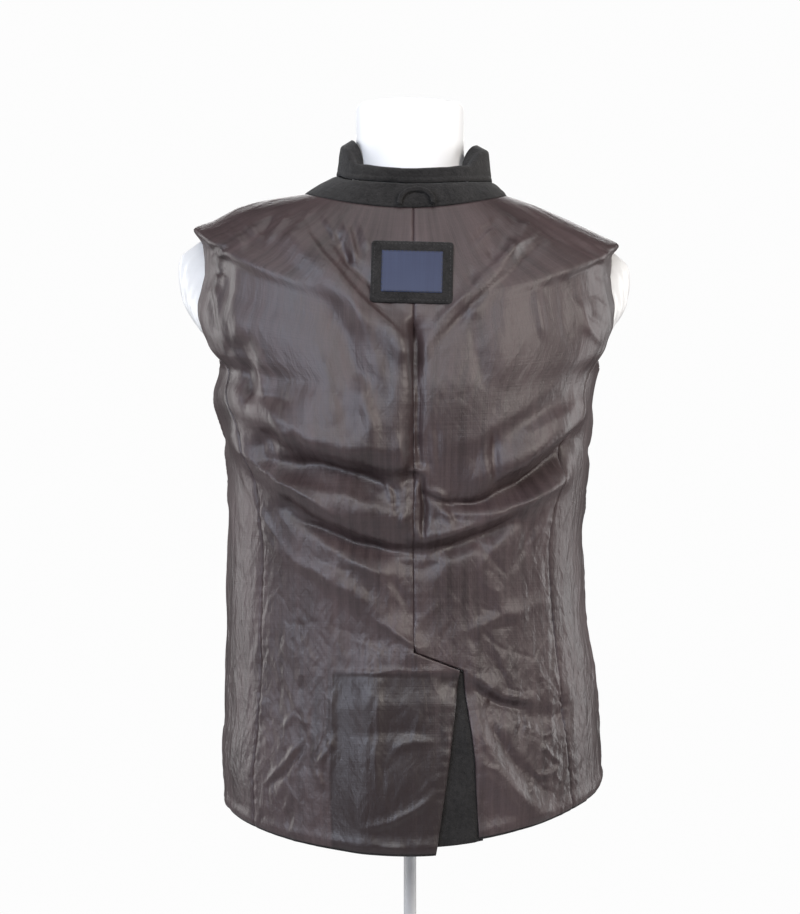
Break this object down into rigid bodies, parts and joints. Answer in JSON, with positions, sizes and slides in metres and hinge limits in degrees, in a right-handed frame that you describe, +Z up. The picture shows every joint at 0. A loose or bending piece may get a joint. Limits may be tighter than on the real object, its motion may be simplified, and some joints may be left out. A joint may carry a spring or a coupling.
{
  "type": "short coat worn inside out on a limbless dress form with a stand",
  "caption": "Short wool coat turned inside out with its satin lining outside, a stand collar and a back vent, on a white limbless dress form on a rod and a round base.",
  "frame": {"origin": "centre of the round base's underside, on the floor and on the rod's axis", "axes": "+Z up along the rod; -Y is where the coat's back faces, which is the side the picture shows; +Y is where its front faces; left and right are as the picture shows them, so left is -X"},
  "size_m": [0.4751, 0.3, 1.5],
  "materials": {
    "lining_satin": "crumpled satin, taupe to dark brown",
    "wool_cloth": "felted wool, charcoal, matt",
    "sleeve_lining": "thin white lining, satin",
    "label_weave": "woven, blue",
    "form_white": "matt white",
    "stand_chrome": "polished"
  },
  "bodies": {
    "root": {"back_left": "lining_satin", "back_right": "lining_satin", "collar_fall": "wool_cloth", "collar_stand": "wool_cloth", "facing_left": "wool_cloth", "facing_right": "wool_cloth", "form_socket": "stand_chrome", "form_torso": "form_white", "front_left": "lining_satin", "front_right": "lining_satin", "hanger_loop": "wool_cloth", "label_patch": "wool_cloth", "side_left": "lining_satin", "side_right": "lining_satin", "sleeve_head_left": "sleeve_lining", "sleeve_head_right": "sleeve_lining", "sleeve_left": "sleeve_lining", "sleeve_right": "sleeve_lining", "stand_base": "stand_chrome", "stand_rod": "stand_chrome", "vent_underlap": "wool_cloth", "woven_label": "label_weave"}
  },
  "joints": []
}
